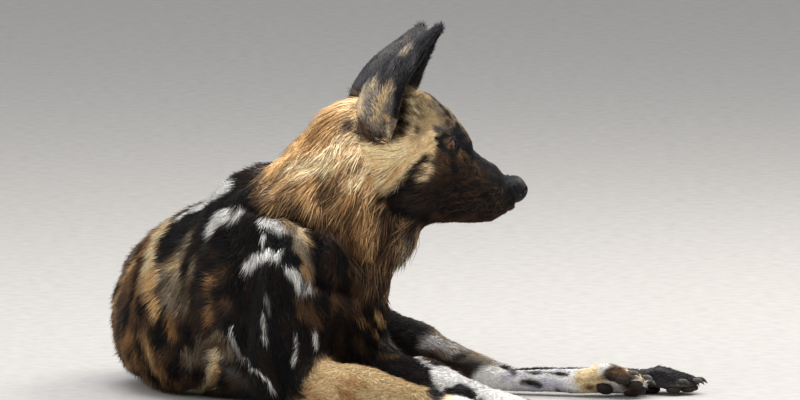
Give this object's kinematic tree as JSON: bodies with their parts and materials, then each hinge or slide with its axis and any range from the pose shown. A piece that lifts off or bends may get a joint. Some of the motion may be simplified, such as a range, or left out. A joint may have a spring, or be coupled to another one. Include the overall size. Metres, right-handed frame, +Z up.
{
  "type": "african wild dog",
  "caption": "Life-size still model of an african wild dog lying with its body curled, forelegs and hind legs stretched to one side, head raised and turned in profile.",
  "frame": {"origin": "middle of the whole animal's box in plan, on the floor plane that it rests on", "axes": "+Z up, +X the way the turned head faces and the hind feet reach, +Y from the forepaws back towards the tail"},
  "size_m": [0.657, 0.9918, 0.426],
  "materials": {
    "coat_black": "black-brown short hair, matt",
    "coat_brindle": "tan, brown and black grizzled hair with white patches, matt",
    "coat_tan": "golden tan to brown long ruff hair, matt",
    "coat_white": "white and cream hair with dark smudges, matt",
    "nose_skin": "black moist nose skin, satin",
    "eye": "amber brown eye, wet gloss",
    "claw": "dark horn, satin"
  },
  "bodies": {
    "root": {"eye_right": "eye", "eye_left": "eye", "nose_pad": "nose_skin", "head": "coat_brindle", "ear_right": "coat_black", "ear_left": "coat_black", "neck": "coat_tan", "foreleg_right_upper": "coat_black", "foreleg_right_lower": "coat_tan", "foreleg_right_foot": "coat_brindle", "foreleg_left_upper": "coat_brindle", "foreleg_left_lower": "coat_brindle", "foreleg_left_foot": "coat_white", "hindleg_left_upper": "coat_black", "hindleg_left_lower": "coat_brindle", "hindleg_left_foot": "coat_white", "hindleg_right_upper": "coat_black", "hindleg_right_lower": "coat_black", "hindleg_right_foot": "coat_black", "chest": "coat_brindle", "loin": "coat_brindle", "pelvis": "coat_brindle", "tail_base": "coat_tan", "tail_middle": "coat_black", "tail_tip": "coat_white"}
  },
  "joints": []
}
